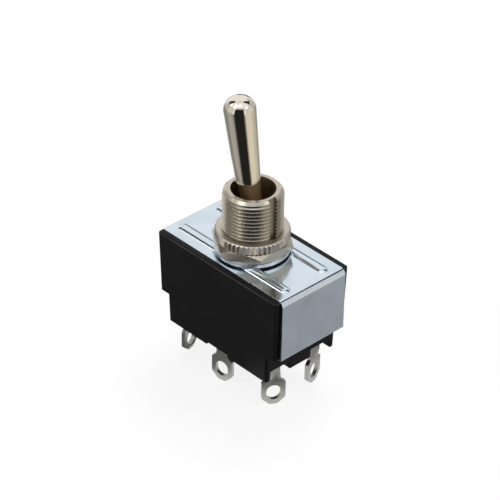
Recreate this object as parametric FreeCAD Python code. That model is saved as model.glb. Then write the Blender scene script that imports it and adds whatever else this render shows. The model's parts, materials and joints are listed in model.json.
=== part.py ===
import FreeCAD, Part
import math
import os

# Panel toggle switch, double pole and double throw, with a bat lever and six solder lugs.
# Millimetres, +Z up. X runs along the body, Y across it. The origin is on the axis of the
# threaded bushing, level with the lower ends of the lugs.

# Gap on each side between pieces that are put together by hand
FIT = 0.05

# Overall heights, from the lug ends up
LUG_DROP = 7.7
LOWER_HEIGHT = 6.3
UPPER_HEIGHT = 13.8

# Nuts and washer
NUT_CLEARANCE = 0.03
WASHER_RADIUS = 7.5
WASHER_THICKNESS = 0.7
WASHER_HOLE_RADIUS = 6.1
WASHER_TOOTH_DEPTH = 0.6
WASHER_TEETH = 12
HEX_SIDES = 6
HEX_FLATS = 14.29
HEX_HEIGHT = 1.95
HEX_TURN_DEG = 27.7
HEX_CHAMFER_DEG = 30.0
KNURL_RADIUS = 7.35
KNURL_HEIGHT = 1.95
KNURL_TEETH = 48
KNURL_DEPTH = 0.28
KNURL_CHAMFER = 0.35

# Lengths and widths of the moulded base and the frame, which is as wide as the nut's corners
BASE_LENGTH = 33.2
END_STEP = 2.5
END_WALL = 2.0
POCKET_INSET = 4.0
FRAME_PROUD = 0.55
NUT_MARGIN = 0.025
SIDE_RAIL = 1.325
SIDE_STEP = 0.35
SIDE_WALL = 1.75
LOWER_LENGTH = BASE_LENGTH - 2 * END_STEP
CAVITY_LENGTH = BASE_LENGTH - 2 * END_WALL
POCKET_LENGTH = BASE_LENGTH - 2 * POCKET_INSET
FRAME_LENGTH = BASE_LENGTH + 2 * FRAME_PROUD
HEX_CORNER = HEX_FLATS / math.sqrt(3)
FRAME_WIDTH = 2 * (HEX_CORNER + NUT_MARGIN)
BASE_WIDTH = FRAME_WIDTH + 2 * SIDE_RAIL
LOWER_WIDTH = BASE_WIDTH - 2 * SIDE_STEP
CAVITY_WIDTH = BASE_WIDTH - 2 * SIDE_WALL

# Moulded base
DRAFT_DEG = 1.5
BASE_CORNER = 0.5
BASE_TOP_ROUND = 0.35
POCKET_TOP_DROP = 11.0
FLOOR_THICKNESS = 2.2
WEB_THICKNESS = 1.6
WEB_TOP_DROP = 11.4
SKIRT_WALL = 1.05
CHANNEL_DEPTH = 2.15
CENTRE_RIB_WIDTH = 5.5
CENTRE_RIB_SHY = 0.3
NOTCH_WIDTH = 6.0
NOTCH_HEIGHT = 0.6

# Folded sheet frame
FRAME_SHY = 0.1
FRAME_HEIGHT = UPPER_HEIGHT - FRAME_SHY
SHEET = 1.0
BEND_RADIUS = 1.2
LIP_LENGTH = 2.1
LIP_RADIUS = 0.35
BEAD_SPACING = 10.0
BEAD_INSET = 1.85
BEAD_LENGTH = FRAME_LENGTH - 2 * BEAD_INSET
BEAD_WIDTH = 2.3
BEAD_HEIGHT = 0.45
INSULATOR_THICKNESS = 0.8

# Threaded bushing, 32 threads to the inch. Its thread is turned as rings at the thread's pitch,
# with flanks at 30 degrees and flats on crest and root, and stays plain inside the nuts
INCH = 25.4
THREADS_PER_INCH = 32
THREAD_PITCH = INCH / THREADS_PER_INCH
THREAD_RADIUS = 5.953
THREAD_PITCH_RADIUS = 5.7
THREAD_FLANK_DEG = 30.0
CREST_SHARE = 0.125
ROOT_SHARE = 0.25
THREAD_CREST = THREAD_PITCH * CREST_SHARE
THREAD_ROOT = THREAD_PITCH * ROOT_SHARE
THREAD_START = 0.1
RIM_HEIGHT = 13.85
MOUTH_RADIUS = 4.4
STOP_GAP = 0.08
RIM_CHAMFER_WIDTH = 0.75
RIM_CHAMFER_HEIGHT = 0.8
KEYWAY_WIDTH = 1.9
KEYWAY_DEPTH = 1.0
SPIGOT_RADIUS = 5.2
STAKE_RADIUS = 5.75
STAKE_THICKNESS = 0.55
STAKE_HOLE_RADIUS = 6.1

# Lever, measured along its own axis from the pivot
PIVOT_HEIGHT = 6.4
LEAN_DEG = 9.9
LEVER_REACH = 26.2
DOME_HEIGHT = 2.8
DOME_FULLNESS = 0.5523
TIP_RADIUS = 3.16
NECK_RADIUS = 2.3
NECK_END = 5.5
BALL_RADIUS = 4.0
BALL_CLEARANCE = 0.06
STEM_RADIUS = 1.9
RIVET_RADIUS = 1.35
RIVET_HEAD_RADIUS = 2.1
RIVET_HEAD_HEIGHT = 0.7
PIN_RADIUS = 0.8
PIN_LENGTH = 9.0
PIN_CLEARANCE = 0.06

# Carrier bar, springs and plungers
POLE_INSET = 2.55
POLE_Y = CAVITY_WIDTH / 2 - POLE_INSET
CARRIER_TOP = 9.1
CARRIER_HEIGHT = 4.9
CARRIER_HUB_RADIUS = 2.7
CARRIER_BOSS_RADIUS = 2.1
CARRIER_WEB = 3.0
BORE_RADIUS = 1.35
BORE_DEPTH = 4.1
PLUNGER_CLEARANCE = 0.05
PLUNGER_REACH = 16.4
PLUNGER_LENGTH = 3.9
SPRING_WIRE = 0.24
SPRING_HALF_TURNS = 8

# Rocking contact arms
END_LUG_INSET = 4.5
CONTACT_INSET = 2.3
ARM_END = 1.4
END_LUG_X = BASE_LENGTH / 2 - END_LUG_INSET
CONTACT_REACH = END_LUG_X - CONTACT_INSET
ROCKER_HALF = CONTACT_REACH + ARM_END
ROCK_DEG = 4.2
HINGE_RADIUS = 1.0
HINGE_CLEARANCE = 0.05
ROCKER_BRIDGE = 0.6
ROCKER_WIDTH = 3.4
ROCKER_SHEET = 0.8
VALLEY_RISE = 0.64
SADDLE_HALF = 1.9
SADDLE_LIFT = 0.3
REST_GAP = 0.05
CONTACT_RADIUS = 1.5
BUTTON_HEIGHT = 0.4
DOME_RISE = 0.3
FIXED_CONTACT_RADIUS = 1.6
FIXED_CONTACT_HEIGHT = 0.6
FIXED_CONTACT_CHAMFER = 0.15
FIXED_CONTACT_SHIFT = 0.3

# Terminals
LUG_SHEET = 0.8
COMMON_LUG_Y = CAVITY_WIDTH / 2 - FIT - LUG_SHEET / 2
BLADE_WIDTH = 3.6
NECK_WIDTH = 2.8
SLOT_CLEARANCE = 0.05
HEAD_WIDTH = 4.75
HEAD_HEIGHT = 5.05
SHOULDER_RISE = 0.7
HEAD_CORNER = 1.5
EYE_WIDTH = 2.9
EYE_HEIGHT = 3.4
EYE_CENTRE = 2.75
TWIST_LENGTH = 1.6
LUG_TWIST_DEG = {
    "near_right": -30.0,
    "near_common": 12.0,
    "near_left": 16.0,
    "far_right": 16.0,
    "far_common": -14.0,
    "far_left": -18.0,
}

# Levels and places that follow from the sizes
BASE_BOTTOM = LUG_DROP
STEP = BASE_BOTTOM + LOWER_HEIGHT
SEAT = STEP + UPPER_HEIGHT
PLATE_UNDERSIDE = SEAT - SHEET
LEDGE = PLATE_UNDERSIDE - INSULATOR_THICKNESS
CHANNEL_FLOOR = BASE_BOTTOM + CHANNEL_DEPTH
CAVITY_FLOOR = CHANNEL_FLOOR + FLOOR_THICKNESS
PIVOT_Z = SEAT + PIVOT_HEIGHT
RIM_Z = SEAT + RIM_HEIGHT
FRAME_INSIDE = FRAME_LENGTH / 2 - SHEET

WASHER_BOTTOM = SEAT + BEAD_HEIGHT
HEX_BOTTOM = WASHER_BOTTOM + WASHER_THICKNESS
KNURL_BOTTOM = HEX_BOTTOM + HEX_HEIGHT
NUT_TOP = KNURL_BOTTOM + KNURL_HEIGHT

LEAN = math.radians(LEAN_DEG)
ROCK = math.radians(ROCK_DEG)
ROCKER_TOP = HINGE_RADIUS + HINGE_CLEARANCE + ROCKER_BRIDGE
PLUNGER_RADIUS = BORE_RADIUS - PLUNGER_CLEARANCE
BALL_END = PLUNGER_REACH - PLUNGER_RADIUS
BALL_SEAT_RADIUS = BALL_RADIUS + BALL_CLEARANCE


def valley_radius():
    """Radius of the arm's hollow in which the plunger's round end keeps one gap over the travel."""
    ratio = ROCK_DEG / LEAN_DEG
    offset = PLUNGER_RADIUS + REST_GAP
    reach = BALL_END - ratio * ROCKER_TOP
    lift = BALL_END + ratio ** 2 * ROCKER_TOP
    return (reach ** 2 + offset * lift) / (lift - offset * ratio ** 2 + 2 * reach * ratio)


def hinge_level():
    """Height of the arm's hinge that puts the plunger's end in the hollow at rest."""
    centre_reach = ROCKER_TOP + VALLEY_RADIUS
    sideways = BALL_END * math.sin(LEAN) - centre_reach * math.sin(ROCK)
    upwards = math.sqrt((VALLEY_RADIUS - PLUNGER_RADIUS - REST_GAP) ** 2 - sideways ** 2)
    return PIVOT_Z - BALL_END * math.cos(LEAN) + upwards - centre_reach * math.cos(ROCK)


def throat_radius():
    """Radius of the ball seat's upper edge, on which the lever's neck stops."""
    neck = NECK_RADIUS / math.cos(LEAN) + STOP_GAP
    slope = math.tan(LEAN) ** 2
    root = math.sqrt(neck ** 2 - (1 + slope) * (neck ** 2 - slope * BALL_SEAT_RADIUS ** 2))
    return (neck + root) / (1 + slope)


VALLEY_RADIUS = valley_radius()
VALLEY_HALF = math.sqrt(VALLEY_RADIUS ** 2 - (VALLEY_RADIUS - VALLEY_RISE) ** 2)
HINGE_Z = hinge_level()
THROAT_RADIUS = throat_radius()
DOME_RADIUS = (CONTACT_RADIUS ** 2 + DOME_RISE ** 2) / (2 * DOME_RISE)
ARM_UNDERSIDE = ROCKER_TOP + VALLEY_RISE - ROCKER_SHEET
DOME_CENTRE = ARM_UNDERSIDE - BUTTON_HEIGHT - DOME_RISE + DOME_RADIUS
DOME_BOTTOM = HINGE_Z + DOME_CENTRE * math.cos(ROCK) - CONTACT_REACH * math.sin(ROCK) - DOME_RADIUS
FIXED_CONTACT_TOP = DOME_BOTTOM - REST_GAP
FIXED_ARM_TOP = FIXED_CONTACT_TOP - FIXED_CONTACT_HEIGHT
FIXED_CONTACT_X = CONTACT_REACH + FIXED_CONTACT_SHIFT

CENTRE = FreeCAD.Vector(0, 0, 0)
X_AXIS = FreeCAD.Vector(1, 0, 0)
Y_AXIS = FreeCAD.Vector(0, 1, 0)
Z_AXIS = FreeCAD.Vector(0, 0, 1)
PIVOT = FreeCAD.Vector(0, 0, PIVOT_Z)
HINGE = FreeCAD.Vector(0, 0, HINGE_Z)
FULL_TURN = 360
HALF_TURN = 180
QUARTER_TURN = 90
OVERSHOOT = 1.0


def block(x_range, y_range, z_range):
    """Box between two limits on each axis."""
    size = [high - low for low, high in (x_range, y_range, z_range)]
    return Part.makeBox(*size, FreeCAD.Vector(x_range[0], y_range[0], z_range[0]))


def centred_block(length, width, bottom, top):
    """Box centred on the Z axis."""
    return block((-length / 2, length / 2), (-width / 2, width / 2), (bottom, top))


def post(radius, bottom, top, x=0.0, y=0.0):
    """Upright cylinder."""
    return Part.makeCylinder(radius, top - bottom, FreeCAD.Vector(x, y, bottom), Z_AXIS)


def rectangle_wire(length, width, level):
    """Closed rectangle centred on the Z axis at one height."""
    half_l, half_w = length / 2, width / 2
    corners = [(-half_l, -half_w), (half_l, -half_w), (half_l, half_w), (-half_l, half_w)]
    points = [FreeCAD.Vector(x, y, level) for x, y in corners]
    return Part.makePolygon(points + points[:1])


def drafted_block(length, width, bottom, top):
    """Block that narrows downwards by the mould's draft on all four sides."""
    inset = 2 * (top - bottom) * math.tan(math.radians(DRAFT_DEG))
    lower = rectangle_wire(length - inset, width - inset, bottom)
    return Part.makeLoft([lower, rectangle_wire(length, width, top)], True, True)


def edge_middle(edge):
    """Point halfway along an edge."""
    return edge.valueAt((edge.FirstParameter + edge.LastParameter) / 2)


def rounded(shape, radius, wanted):
    """Rounds the edges whose middle point passes the given test."""
    edges = [edge for edge in shape.Edges if wanted(edge_middle(edge))]
    return shape.makeFillet(radius, edges)


def turned(edges):
    """Solid turned about the Z axis from the edges of a closed profile in the XZ plane."""
    face = Part.Face(Part.Wire(Part.__sortEdges__(edges)))
    return Part.Solid(face.revolve(CENTRE, Z_AXIS, FULL_TURN))


def polyline(points):
    """Straight edges through (radius, height) points."""
    vectors = [FreeCAD.Vector(r, 0, z) for r, z in points]
    return [Part.makeLine(a, b) for a, b in zip(vectors, vectors[1:])]


def arc_edge(start, middle, end):
    """Circular arc through three (radius, height) points."""
    return Part.Arc(*[FreeCAD.Vector(r, 0, z) for r, z in (start, middle, end)]).toShape()


def extruded_xz(points, y_low, y_high):
    """Solid with a straight-sided outline in the XZ plane, between two Y limits."""
    vectors = [FreeCAD.Vector(x, y_low, z) for x, z in points]
    face = Part.Face(Part.makePolygon(vectors + vectors[:1]))
    return face.extrude(Y_AXIS * (y_high - y_low))


def leaned(shape):
    """Lever parts are modelled upright about the pivot and lean towards -X at rest."""
    shape = shape.copy()
    shape.translate(PIVOT)
    shape.rotate(PIVOT, Y_AXIS, -LEAN_DEG)
    return shape


def rocked(shape):
    """Rocking parts are modelled level about the hinge and tip down at +X at rest."""
    shape = shape.copy()
    shape.translate(HINGE)
    shape.rotate(HINGE, Y_AXIS, ROCK_DEG)
    return shape


def terminal_slots():
    """Openings in the base floor for the six terminals."""
    across = (LUG_SHEET / 2 + SLOT_CLEARANCE)
    along = (NECK_WIDTH / 2 + SLOT_CLEARANCE)
    depth = (BASE_BOTTOM - OVERSHOOT, CAVITY_FLOOR + OVERSHOOT)
    slots = []
    for side in (-1, 1):
        y = side * POLE_Y
        for x in (-END_LUG_X, END_LUG_X):
            slots.append(block((x - across, x + across), (y - along, y + along), depth))
        y = side * COMMON_LUG_Y
        slots.append(block((-along, along), (y - across, y + across), depth))
    return slots


def base_outside():
    """Drafted outer form: the wide upper part on the narrower skirt."""
    upper = drafted_block(BASE_LENGTH, BASE_WIDTH, STEP, SEAT)
    upper = rounded(upper, BASE_CORNER, lambda p: STEP < p.z < SEAT
                    and abs(p.x) > BASE_LENGTH / 2 - OVERSHOOT and abs(p.y) > BASE_WIDTH / 2 - OVERSHOOT)
    upper = rounded(upper, BASE_TOP_ROUND, lambda p: p.z > SEAT - FIT)
    lower = drafted_block(LOWER_LENGTH, LOWER_WIDTH, BASE_BOTTOM, STEP)
    lower = rounded(lower, BASE_CORNER, lambda p: BASE_BOTTOM < p.z < STEP
                    and abs(p.x) > LOWER_LENGTH / 2 - OVERSHOOT and abs(p.y) > LOWER_WIDTH / 2 - OVERSHOOT)
    return upper.fuse(lower)


def base():
    """Black moulded body with its ledges, cavity, floor slots and skirt channels."""
    body = base_outside()
    seat_width = FRAME_WIDTH + 2 * FIT
    body = body.cut(centred_block(BASE_LENGTH + OVERSHOOT, seat_width, LEDGE, SEAT + OVERSHOOT))
    for side in (-1, 1):
        outer = side * (FRAME_LENGTH / 2 + OVERSHOOT)
        end_face = sorted((side * FRAME_INSIDE, outer))
        body = body.cut(block(end_face, (-seat_width / 2, seat_width / 2), (STEP - FIT, SEAT)))
        lip_end = sorted((side * (FRAME_LENGTH / 2 - LIP_LENGTH - FIT), outer))
        lip_top = SEAT - FRAME_HEIGHT + SHEET
        body = body.cut(block(lip_end, (-seat_width / 2, seat_width / 2), (STEP - FIT, lip_top)))
    body = body.cut(centred_block(CAVITY_LENGTH, CAVITY_WIDTH, SEAT - POCKET_TOP_DROP, SEAT))
    pocket = centred_block(POCKET_LENGTH, CAVITY_WIDTH, CAVITY_FLOOR, SEAT - POCKET_TOP_DROP)
    web = centred_block(POCKET_LENGTH, WEB_THICKNESS, CAVITY_FLOOR, SEAT - WEB_TOP_DROP)
    body = body.cut(pocket.cut(web))
    channel_outside = (LOWER_WIDTH - 2 * LOWER_HEIGHT * math.tan(math.radians(DRAFT_DEG))) / 2 - SKIRT_WALL
    for side in (-1, 1):
        channel = sorted((side * CENTRE_RIB_WIDTH / 2, side * channel_outside))
        body = body.cut(block((-BASE_LENGTH, BASE_LENGTH), channel, (BASE_BOTTOM - OVERSHOOT, CHANNEL_FLOOR)))
    rib_relief = (BASE_BOTTOM - OVERSHOOT, BASE_BOTTOM + CENTRE_RIB_SHY)
    body = body.cut(block((-BASE_LENGTH, BASE_LENGTH), (-channel_outside, channel_outside), rib_relief))
    notch = centred_block(NOTCH_WIDTH, BASE_WIDTH, BASE_BOTTOM - OVERSHOOT, BASE_BOTTOM + NOTCH_HEIGHT)
    body = body.cut(notch)
    for slot in terminal_slots():
        body = body.cut(slot)
    return body.removeSplitter()


def bead(level, side):
    """Rounded stiffening rib, as a long capsule sunk into the sheet."""
    radius = ((BEAD_WIDTH / 2) ** 2 + BEAD_HEIGHT ** 2) / (2 * BEAD_HEIGHT)
    run = BEAD_LENGTH - BEAD_WIDTH
    y = side * BEAD_SPACING / 2
    axis_z = level + BEAD_HEIGHT - radius
    capsule = Part.makeCylinder(radius, run, FreeCAD.Vector(-run / 2, y, axis_z), X_AXIS)
    for x in (-run / 2, run / 2):
        capsule = capsule.fuse(Part.makeSphere(radius, FreeCAD.Vector(x, y, axis_z)))
    room = block((-BEAD_LENGTH, BEAD_LENGTH), (y - BEAD_WIDTH, y + BEAD_WIDTH), (level, level + radius))
    return capsule.common(room)


def frame():
    """Sheet frame: top plate with two pressed ribs, end plates and crimped lips."""
    bottom = SEAT - FRAME_HEIGHT
    shell = centred_block(FRAME_LENGTH, FRAME_WIDTH, bottom, SEAT)
    shell = rounded(shell, BEND_RADIUS, lambda p: abs(p.y) < FIT and p.z > SEAT - FIT)
    shell = rounded(shell, LIP_RADIUS, lambda p: abs(p.y) < FIT and p.z < bottom + FIT)
    inside = centred_block(2 * FRAME_INSIDE, FRAME_WIDTH + OVERSHOOT, bottom + SHEET, PLATE_UNDERSIDE)
    inside = rounded(inside, BEND_RADIUS - SHEET, lambda p: abs(p.y) < FIT and p.z > PLATE_UNDERSIDE - FIT)
    gap_length = FRAME_LENGTH - 2 * LIP_LENGTH
    gap = centred_block(gap_length, FRAME_WIDTH + OVERSHOOT, bottom - OVERSHOOT, PLATE_UNDERSIDE)
    shell = shell.cut(inside).cut(gap)
    for side in (-1, 1):
        shell = shell.fuse(bead(SEAT, side)).cut(bead(PLATE_UNDERSIDE, side))
    return shell.cut(post(SPIGOT_RADIUS, PLATE_UNDERSIDE - OVERSHOOT, SEAT + OVERSHOOT)).removeSplitter()


def insulator():
    """Fibre sheet between the frame and the cavity, holed for the staked bushing."""
    length = 2 * (FRAME_INSIDE - (BEND_RADIUS - SHEET) - FIT)
    width = FRAME_WIDTH - 2 * FIT
    sheet = centred_block(length, width, LEDGE, PLATE_UNDERSIDE)
    sheet = rounded(sheet, BASE_CORNER, lambda p: LEDGE < p.z < PLATE_UNDERSIDE)
    return sheet.cut(post(STAKE_HOLE_RADIUS, LEDGE - OVERSHOOT, SEAT))


def thread_outline(bottom, top):
    """Outline of the thread's rings between two heights, as (radius, height) points going down."""
    flank = (THREAD_PITCH - THREAD_CREST - THREAD_ROOT) / 2
    root_radius = THREAD_RADIUS - flank / math.tan(math.radians(THREAD_FLANK_DEG))
    count = int((top - bottom - THREAD_CREST) / THREAD_PITCH)
    first = (bottom + top + count * THREAD_PITCH - THREAD_CREST) / 2
    points = [(THREAD_RADIUS, top)]
    for index in range(count):
        edge = first - index * THREAD_PITCH
        points.append((THREAD_RADIUS, edge))
        points.append((root_radius, edge - flank))
        points.append((root_radius, edge - flank - THREAD_ROOT))
        points.append((THREAD_RADIUS, edge - 2 * flank - THREAD_ROOT))
    return points + [(THREAD_RADIUS, bottom)]


def bushing():
    """Threaded bushing with a ball seat, keyway, pin slots and a foot staked under the plate."""
    seat_radius = BALL_SEAT_RADIUS
    foot = PLATE_UNDERSIDE - STAKE_THICKNESS
    throat_z = PIVOT_Z + math.sqrt(seat_radius ** 2 - THROAT_RADIUS ** 2)
    half_turn = math.atan2(throat_z - PIVOT_Z, THROAT_RADIUS) / 2
    seat_middle = (seat_radius * math.cos(half_turn), PIVOT_Z + seat_radius * math.sin(half_turn))
    outline = [
        (THROAT_RADIUS, throat_z),
        (MOUTH_RADIUS, RIM_Z),
        (THREAD_RADIUS - RIM_CHAMFER_WIDTH, RIM_Z),
    ]
    outline += thread_outline(NUT_TOP + THREAD_START, RIM_Z - RIM_CHAMFER_HEIGHT)
    outline += [
        (THREAD_PITCH_RADIUS, NUT_TOP + THREAD_START),
        (THREAD_PITCH_RADIUS, WASHER_BOTTOM),
        (SPIGOT_RADIUS, WASHER_BOTTOM),
        (SPIGOT_RADIUS, PLATE_UNDERSIDE),
        (STAKE_RADIUS, PLATE_UNDERSIDE),
        (SPIGOT_RADIUS, foot),
        (seat_radius, foot),
        (seat_radius, PIVOT_Z),
    ]
    seat = arc_edge((seat_radius, PIVOT_Z), seat_middle, (THROAT_RADIUS, throat_z))
    body = turned(polyline(outline) + [seat])
    keyway_floor = THREAD_RADIUS - KEYWAY_DEPTH
    body = body.cut(block((keyway_floor, THREAD_RADIUS + OVERSHOOT), (-KEYWAY_WIDTH / 2, KEYWAY_WIDTH / 2),
                          (WASHER_BOTTOM, RIM_Z + OVERSHOOT)))
    slot_half = PIN_RADIUS + PIN_CLEARANCE
    slot_reach = PIN_LENGTH / 2 + PIN_CLEARANCE
    slot = block((-slot_half, slot_half), (-slot_reach, slot_reach), (foot - OVERSHOOT, PIVOT_Z))
    crown = Part.makeCylinder(slot_half, 2 * slot_reach, FreeCAD.Vector(0, -slot_reach, PIVOT_Z), Y_AXIS)
    return body.cut(slot.fuse(crown))


def lever():
    """Bat lever with its ball and a stem riveted through the carrier bar."""
    ball_low = -math.sqrt(BALL_RADIUS ** 2 - STEM_RADIUS ** 2)
    ball_high = math.sqrt(BALL_RADIUS ** 2 - NECK_RADIUS ** 2)
    dome_start = LEVER_REACH - DOME_HEIGHT
    carrier_bottom = -CARRIER_TOP - CARRIER_HEIGHT
    below = polyline([
        (0, carrier_bottom - RIVET_HEAD_HEIGHT),
        (RIVET_RADIUS, carrier_bottom - RIVET_HEAD_HEIGHT),
        (RIVET_HEAD_RADIUS, carrier_bottom - RIVET_HEAD_HEIGHT / 2),
        (RIVET_HEAD_RADIUS, carrier_bottom),
        (RIVET_RADIUS, carrier_bottom),
        (RIVET_RADIUS, -CARRIER_TOP),
        (STEM_RADIUS, -CARRIER_TOP),
        (STEM_RADIUS, ball_low),
    ])
    ball = arc_edge((STEM_RADIUS, ball_low), (BALL_RADIUS, 0), (NECK_RADIUS, ball_high))
    above = polyline([(NECK_RADIUS, ball_high), (NECK_RADIUS, NECK_END), (TIP_RADIUS, dome_start)])
    dome = Part.BezierCurve()
    dome.setPoles([
        FreeCAD.Vector(TIP_RADIUS, 0, dome_start),
        FreeCAD.Vector(TIP_RADIUS, 0, dome_start + DOME_FULLNESS * DOME_HEIGHT),
        FreeCAD.Vector(DOME_FULLNESS * TIP_RADIUS, 0, LEVER_REACH),
        FreeCAD.Vector(0, 0, LEVER_REACH),
    ])
    axis = polyline([(0, LEVER_REACH), (0, carrier_bottom - RIVET_HEAD_HEIGHT)])
    body = turned(below + [ball] + above + [dome.toShape()] + axis)
    return leaned(body.cut(pin_upright()))


def pin_upright():
    """Cross pin at the pivot, before the lever leans."""
    return Part.makeCylinder(PIN_RADIUS, PIN_LENGTH, FreeCAD.Vector(0, -PIN_LENGTH / 2, 0), Y_AXIS)


def pivot_pin():
    """Pin through the ball, whose ends turn in the bushing's slots."""
    return leaned(pin_upright())


def carrier():
    """Insulating cross bar on the lever's stem, with a blind bore over each pole."""
    bottom = -CARRIER_TOP - CARRIER_HEIGHT
    bar = post(CARRIER_HUB_RADIUS, bottom, -CARRIER_TOP)
    bar = bar.fuse(block((-CARRIER_WEB / 2, CARRIER_WEB / 2), (-POLE_Y, POLE_Y), (bottom, -CARRIER_TOP)))
    for y in (-POLE_Y, POLE_Y):
        bar = bar.fuse(post(CARRIER_BOSS_RADIUS, bottom, -CARRIER_TOP, y=y))
    for y in (-POLE_Y, POLE_Y):
        bar = bar.cut(post(BORE_RADIUS, bottom - OVERSHOOT, bottom + BORE_DEPTH, y=y))
    bar = bar.cut(post(RIVET_RADIUS, bottom - OVERSHOOT, OVERSHOOT - CARRIER_TOP))
    return leaned(bar.removeSplitter())


def plunger(y):
    """Round-ended plunger that slides in the carrier bar's bore."""
    low = -PLUNGER_REACH
    high = low + PLUNGER_LENGTH
    body = post(PLUNGER_RADIUS, -BALL_END, high, y=y)
    round_end = Part.makeSphere(PLUNGER_RADIUS, FreeCAD.Vector(0, y, -BALL_END))
    return leaned(body.fuse(round_end).removeSplitter())


def spring(y):
    """Coil spring between the bore's end and the plunger, of half turns in tilted planes."""
    wire_radius = SPRING_WIRE / 2
    coil_radius = BORE_RADIUS - PLUNGER_CLEARANCE - wire_radius
    low = -PLUNGER_REACH + PLUNGER_LENGTH + wire_radius
    high = -CARRIER_TOP - CARRIER_HEIGHT + BORE_DEPTH - wire_radius
    rise = (high - low) / SPRING_HALF_TURNS
    tilt = math.asin(rise / (2 * coil_radius))
    section = Part.Face(Part.Wire(Part.makeCircle(wire_radius, X_AXIS * coil_radius, Y_AXIS)))
    half_turn = Part.Solid(section.revolve(CENTRE, Z_AXIS, HALF_TURN))
    half_turn.rotate(CENTRE, Y_AXIS, math.degrees(tilt))
    coil = None
    for index in range(SPRING_HALF_TURNS):
        piece = half_turn.copy()
        piece.rotate(CENTRE, Z_AXIS, index * HALF_TURN)
        piece.translate(FreeCAD.Vector(0, y, low + (index + 1 / 2) * rise))
        coil = coil.fuse(piece) if coil else piece
    return leaned(coil.removeSplitter())


def rocker(y):
    """Rocking contact arm: a saddle over the hinge rib, two wings and a hollow for the plunger."""
    wing_top = ROCKER_TOP + VALLEY_RISE
    right = [
        (ROCKER_HALF, wing_top),
        (ROCKER_HALF, ARM_UNDERSIDE),
        (VALLEY_HALF, ARM_UNDERSIDE),
        (SADDLE_HALF, ARM_UNDERSIDE - VALLEY_RISE),
        (SADDLE_HALF, SADDLE_LIFT),
    ]
    left = [(-x, z) for x, z in reversed(right)]
    arm = extruded_xz(right + left, y - ROCKER_WIDTH / 2, y + ROCKER_WIDTH / 2)
    groove_radius = HINGE_RADIUS + HINGE_CLEARANCE
    start = FreeCAD.Vector(0, y - ROCKER_WIDTH / 2 - OVERSHOOT, 0)
    groove = Part.makeCylinder(groove_radius, ROCKER_WIDTH + 2 * OVERSHOOT, start, Y_AXIS)
    start = start + Z_AXIS * (ROCKER_TOP + VALLEY_RADIUS)
    hollow = Part.makeCylinder(VALLEY_RADIUS, ROCKER_WIDTH + 2 * OVERSHOOT, start, Y_AXIS)
    return rocked(arm.cut(groove).cut(hollow))


def moving_contact(x, y):
    """Domed silver button under the end of a rocking arm."""
    sphere = Part.makeSphere(DOME_RADIUS, FreeCAD.Vector(x, y, DOME_CENTRE))
    button = post(CONTACT_RADIUS, DOME_CENTRE - DOME_RADIUS - OVERSHOOT, ARM_UNDERSIDE, x, y)
    return rocked(button.common(sphere))


def fixed_contact(x, y):
    """Flat silver button on a terminal's arm."""
    disc = post(FIXED_CONTACT_RADIUS, FIXED_ARM_TOP, FIXED_CONTACT_TOP, x, y)
    rim = [edge for edge in disc.Edges if edge_middle(edge).z > FIXED_CONTACT_TOP - FIT]
    return disc.makeChamfer(FIXED_CONTACT_CHAMFER, rim[:1])


def lug(twist_deg):
    """Neck and solder lug below the floor: width along X, thickness along Y, centred on Z."""
    head_top = HEAD_HEIGHT
    half = HEAD_WIDTH / 2
    neck = NECK_WIDTH / 2
    outline = [
        (neck, head_top + SHOULDER_RISE),
        (half, head_top),
        (half, HEAD_CORNER),
        (half - HEAD_CORNER, 0),
    ]
    outline = outline + [(-x, z) for x, z in reversed(outline)]
    head = extruded_xz(outline, -LUG_SHEET / 2, LUG_SHEET / 2)
    head = rounded(head, HEAD_CORNER / 2, lambda p: abs(p.y) < FIT and p.z < HEAD_CORNER + FIT)
    flat = (EYE_HEIGHT - EYE_WIDTH) / 2
    levels = (EYE_CENTRE - flat, EYE_CENTRE + flat)
    eye = block((-EYE_WIDTH / 2, EYE_WIDTH / 2), (-LUG_SHEET, LUG_SHEET), levels)
    for z in levels:
        start = FreeCAD.Vector(0, -LUG_SHEET, z)
        eye = eye.fuse(Part.makeCylinder(EYE_WIDTH / 2, 2 * LUG_SHEET, start, Y_AXIS))
    head = head.cut(eye)
    head.rotate(CENTRE, Z_AXIS, twist_deg)
    twist_bottom = head_top + SHOULDER_RISE
    twist_top = twist_bottom + TWIST_LENGTH
    start = rectangle_wire(NECK_WIDTH, LUG_SHEET, twist_bottom)
    start.rotate(CENTRE, Z_AXIS, twist_deg)
    twist = Part.makeLoft([start, rectangle_wire(NECK_WIDTH, LUG_SHEET, twist_top)], True, True)
    neck_part = centred_block(NECK_WIDTH, LUG_SHEET, twist_top, CAVITY_FLOOR)
    return head.fuse(twist).fuse(neck_part)


def throw_terminal(x_side, y_side, twist_deg):
    """End terminal: lug, blade up the end wall and an arm that carries the fixed contact."""
    part = lug(twist_deg)
    part.rotate(CENTRE, Z_AXIS, QUARTER_TURN)
    part.translate(FreeCAD.Vector(x_side * END_LUG_X, y_side * POLE_Y, 0))
    y_range = (y_side * POLE_Y - BLADE_WIDTH / 2, y_side * POLE_Y + BLADE_WIDTH / 2)
    outer = END_LUG_X + LUG_SHEET / 2
    inner = FIXED_CONTACT_X - FIXED_CONTACT_RADIUS - 2 * FIT
    outline = [
        (outer - LUG_SHEET, CAVITY_FLOOR),
        (outer, CAVITY_FLOOR),
        (outer, FIXED_ARM_TOP),
        (inner, FIXED_ARM_TOP),
        (inner, FIXED_ARM_TOP - LUG_SHEET),
        (outer - LUG_SHEET, FIXED_ARM_TOP - LUG_SHEET),
    ]
    angle = extruded_xz([(x_side * x, z) for x, z in outline], *y_range)
    angle = rounded(angle, LUG_SHEET, lambda p: abs(p.x) > outer - FIT and p.z > FIXED_ARM_TOP - FIT)
    return part.fuse(angle).removeSplitter()


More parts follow.
